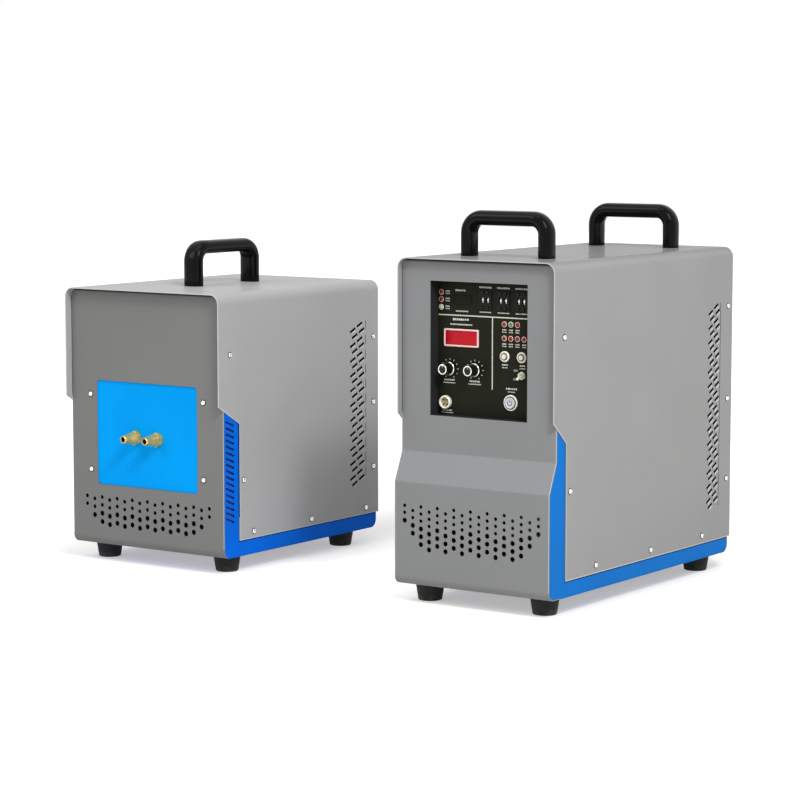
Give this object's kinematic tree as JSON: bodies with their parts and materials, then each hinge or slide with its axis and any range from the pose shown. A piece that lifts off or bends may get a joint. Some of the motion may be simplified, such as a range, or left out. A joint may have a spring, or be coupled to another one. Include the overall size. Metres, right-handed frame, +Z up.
{
  "type": "split induction furnace",
  "caption": "Two-box induction furnace for melting gold: a power cabinet with a sunk control panel, and a heating head with two brass coil connectors.",
  "frame": {"origin": "on the bench under the middle of the pair's box", "axes": "+X to the operator's right, from the heating head to the power cabinet; +Y away from the operator; +Z up"},
  "size_m": [0.8344, 0.531, 0.5223],
  "materials": {
    "grey_cover": "satin powder coat",
    "grey_front": "satin powder coat",
    "blue_plate": "satin powder coat",
    "black_handle": "glossy moulded plastic",
    "foot_rubber": "matte rubber",
    "zinc_steel": "zinc-plated",
    "bright_metal": "brushed, nickel-plated",
    "black_sheet": "black paint",
    "dark_panel": "matte printed overlay",
    "pale_bezel": "satin",
    "red_window": "tinted acrylic",
    "lamp_lens": "tinted, glossy",
    "knob_plastic": "satin",
    "black_plastic": "matte",
    "white_digit_wheel": "matte",
    "pale_plastic": "matte",
    "brass": "turned, bright",
    "plate_aluminium": "milled",
    "circuit_board": "solder mask",
    "azure_board": "painted insulating board",
    "ferrite": "sintered, matte",
    "capacitor_case": "moulded"
  },
  "bodies": {
    "power_cabinet": {"main_cover": "grey_cover", "main_front_panel": "grey_front", "main_tray": "grey_front", "main_side_plates": "blue_plate", "main_front_handle": "black_handle", "main_rear_handle": "black_handle", "main_feet": "foot_rubber", "main_fasteners": "zinc_steel", "control_box": "black_sheet", "control_panel": "dark_panel", "meter_bezel": "pale_bezel", "display_windows": "red_window", "indicator_lamps": "lamp_lens", "switch_collars": "bright_metal", "remote_socket": "zinc_steel", "setter_housings": "black_plastic", "mains_breaker": "pale_plastic", "fan_frame": "black_plastic", "main_hose_ports": "brass", "cable_gland": "black_plastic", "inverter_block": "plate_aluminium", "control_board": "circuit_board"},
    "heating_head": {"head_cover": "grey_cover", "head_front_panel": "grey_front", "head_tray": "grey_front", "head_side_plates": "blue_plate", "head_handle": "black_handle", "head_feet": "foot_rubber", "head_fasteners": "zinc_steel", "coil_board": "azure_board", "coil_connectors": "brass", "transformer": "ferrite", "capacitor_bank": "capacitor_case", "head_hose_ports": "brass"},
    "heat_power_knob": {"heat_power_knob": "knob_plastic"},
    "hold_power_knob": {"hold_power_knob": "knob_plastic"},
    "start_button": {"start_button": "bright_metal"},
    "stop_button": {"stop_button": "bright_metal"},
    "power_button": {"power_button": "bright_metal"},
    "toggle_lever": {"toggle_lever": "bright_metal"},
    "breaker_lever": {"breaker_lever": "black_plastic"},
    "fan_rotor": {"fan_rotor": "black_plastic"},
    "heat_tens_wheel": {"heat_tens_wheel": "white_digit_wheel"},
    "heat_tens_plus_key": {"heat_tens_plus_key": "black_plastic"},
    "heat_tens_minus_key": {"heat_tens_minus_key": "black_plastic"},
    "heat_units_wheel": {"heat_units_wheel": "white_digit_wheel"},
    "heat_units_plus_key": {"heat_units_plus_key": "black_plastic"},
    "heat_units_minus_key": {"heat_units_minus_key": "black_plastic"},
    "hold_tens_wheel": {"hold_tens_wheel": "white_digit_wheel"},
    "hold_tens_plus_key": {"hold_tens_plus_key": "black_plastic"},
    "hold_tens_minus_key": {"hold_tens_minus_key": "black_plastic"},
    "hold_units_wheel": {"hold_units_wheel": "white_digit_wheel"},
    "hold_units_plus_key": {"hold_units_plus_key": "black_plastic"},
    "hold_units_minus_key": {"hold_units_minus_key": "black_plastic"},
    "cool_tens_wheel": {"cool_tens_wheel": "white_digit_wheel"},
    "cool_tens_plus_key": {"cool_tens_plus_key": "black_plastic"},
    "cool_tens_minus_key": {"cool_tens_minus_key": "black_plastic"},
    "cool_units_wheel": {"cool_units_wheel": "white_digit_wheel"},
    "cool_units_plus_key": {"cool_units_plus_key": "black_plastic"},
    "cool_units_minus_key": {"cool_units_minus_key": "black_plastic"}
  },
  "joints": [
    {"name": "heat_power_turn", "type": "hinge", "parent": "power_cabinet", "child": "heat_power_knob", "pos_m": [0.2357, -0.2145, 0.31425], "axis": [0, 1, 0], "range_deg": [-150, 150]},
    {"name": "hold_power_turn", "type": "hinge", "parent": "power_cabinet", "child": "hold_power_knob", "pos_m": [0.2753, -0.2145, 0.31425], "axis": [0, 1, 0], "range_deg": [-150, 150]},
    {"name": "start_press", "type": "slide", "parent": "power_cabinet", "child": "start_button", "axis": [0, 1, 0], "range_m": [0, 0.0025], "stiffness_N_per_m": 400, "springref_m": -0.0005},
    {"name": "stop_press", "type": "slide", "parent": "power_cabinet", "child": "stop_button", "axis": [0, 1, 0], "range_m": [0, 0.0025], "stiffness_N_per_m": 400, "springref_m": -0.0005},
    {"name": "power_press", "type": "slide", "parent": "power_cabinet", "child": "power_button", "axis": [0, 1, 0], "range_m": [0, 0.0025], "stiffness_N_per_m": 400, "springref_m": -0.0005},
    {"name": "toggle_tilt", "type": "hinge", "parent": "power_cabinet", "child": "toggle_lever", "pos_m": [0.3485, -0.2145, 0.31075], "axis": [-1, 0, 0], "range_deg": [0, 34]},
    {"name": "breaker_throw", "type": "hinge", "parent": "power_cabinet", "child": "breaker_lever", "pos_m": [0.3565, 0.2335, 0.354], "axis": [1, 0, 0], "range_deg": [0, 50]},
    {"name": "fan_spin", "type": "hinge", "parent": "power_cabinet", "child": "fan_rotor", "pos_m": [0.2465, 0.2215, 0.354], "axis": [0, 1, 0], "continuous": true},
    {"name": "heat_tens_count", "type": "hinge", "parent": "power_cabinet", "child": "heat_tens_wheel", "pos_m": [0.28725, -0.2074, 0.40705], "axis": [1, 0, 0], "continuous": true},
    {"name": "heat_tens_plus_press", "type": "slide", "parent": "power_cabinet", "child": "heat_tens_plus_key", "axis": [0, 1, 0], "range_m": [0, 0.001], "stiffness_N_per_m": 300, "springref_m": -0.0003},
    {"name": "heat_tens_minus_press", "type": "slide", "parent": "power_cabinet", "child": "heat_tens_minus_key", "axis": [0, 1, 0], "range_m": [0, 0.001], "stiffness_N_per_m": 300, "springref_m": -0.0003},
    {"name": "heat_units_count", "type": "hinge", "parent": "power_cabinet", "child": "heat_units_wheel", "pos_m": [0.29535, -0.2074, 0.40705], "axis": [1, 0, 0], "continuous": true},
    {"name": "heat_units_plus_press", "type": "slide", "parent": "power_cabinet", "child": "heat_units_plus_key", "axis": [0, 1, 0], "range_m": [0, 0.001], "stiffness_N_per_m": 300, "springref_m": -0.0003},
    {"name": "heat_units_minus_press", "type": "slide", "parent": "power_cabinet", "child": "heat_units_minus_key", "axis": [0, 1, 0], "range_m": [0, 0.001], "stiffness_N_per_m": 300, "springref_m": -0.0003},
    {"name": "hold_tens_count", "type": "hinge", "parent": "power_cabinet", "child": "hold_tens_wheel", "pos_m": [0.31525, -0.2074, 0.40705], "axis": [1, 0, 0], "continuous": true},
    {"name": "hold_tens_plus_press", "type": "slide", "parent": "power_cabinet", "child": "hold_tens_plus_key", "axis": [0, 1, 0], "range_m": [0, 0.001], "stiffness_N_per_m": 300, "springref_m": -0.0003},
    {"name": "hold_tens_minus_press", "type": "slide", "parent": "power_cabinet", "child": "hold_tens_minus_key", "axis": [0, 1, 0], "range_m": [0, 0.001], "stiffness_N_per_m": 300, "springref_m": -0.0003},
    {"name": "hold_units_count", "type": "hinge", "parent": "power_cabinet", "child": "hold_units_wheel", "pos_m": [0.32335, -0.2074, 0.40705], "axis": [1, 0, 0], "continuous": true},
    {"name": "hold_units_plus_press", "type": "slide", "parent": "power_cabinet", "child": "hold_units_plus_key", "axis": [0, 1, 0], "range_m": [0, 0.001], "stiffness_N_per_m": 300, "springref_m": -0.0003},
    {"name": "hold_units_minus_press", "type": "slide", "parent": "power_cabinet", "child": "hold_units_minus_key", "axis": [0, 1, 0], "range_m": [0, 0.001], "stiffness_N_per_m": 300, "springref_m": -0.0003},
    {"name": "cool_tens_count", "type": "hinge", "parent": "power_cabinet", "child": "cool_tens_wheel", "pos_m": [0.34325, -0.2074, 0.40705], "axis": [1, 0, 0], "continuous": true},
    {"name": "cool_tens_plus_press", "type": "slide", "parent": "power_cabinet", "child": "cool_tens_plus_key", "axis": [0, 1, 0], "range_m": [0, 0.001], "stiffness_N_per_m": 300, "springref_m": -0.0003},
    {"name": "cool_tens_minus_press", "type": "slide", "parent": "power_cabinet", "child": "cool_tens_minus_key", "axis": [0, 1, 0], "range_m": [0, 0.001], "stiffness_N_per_m": 300, "springref_m": -0.0003},
    {"name": "cool_units_count", "type": "hinge", "parent": "power_cabinet", "child": "cool_units_wheel", "pos_m": [0.35135, -0.2074, 0.40705], "axis": [1, 0, 0], "continuous": true},
    {"name": "cool_units_plus_press", "type": "slide", "parent": "power_cabinet", "child": "cool_units_plus_key", "axis": [0, 1, 0], "range_m": [0, 0.001], "stiffness_N_per_m": 300, "springref_m": -0.0003},
    {"name": "cool_units_minus_press", "type": "slide", "parent": "power_cabinet", "child": "cool_units_minus_key", "axis": [0, 1, 0], "range_m": [0, 0.001], "stiffness_N_per_m": 300, "springref_m": -0.0003},
    {"name": "head_place", "type": "slide", "parent": "power_cabinet", "child": "heating_head", "axis": [-1, 0, 0], "range_m": [0, 0.4]}
  ]
}
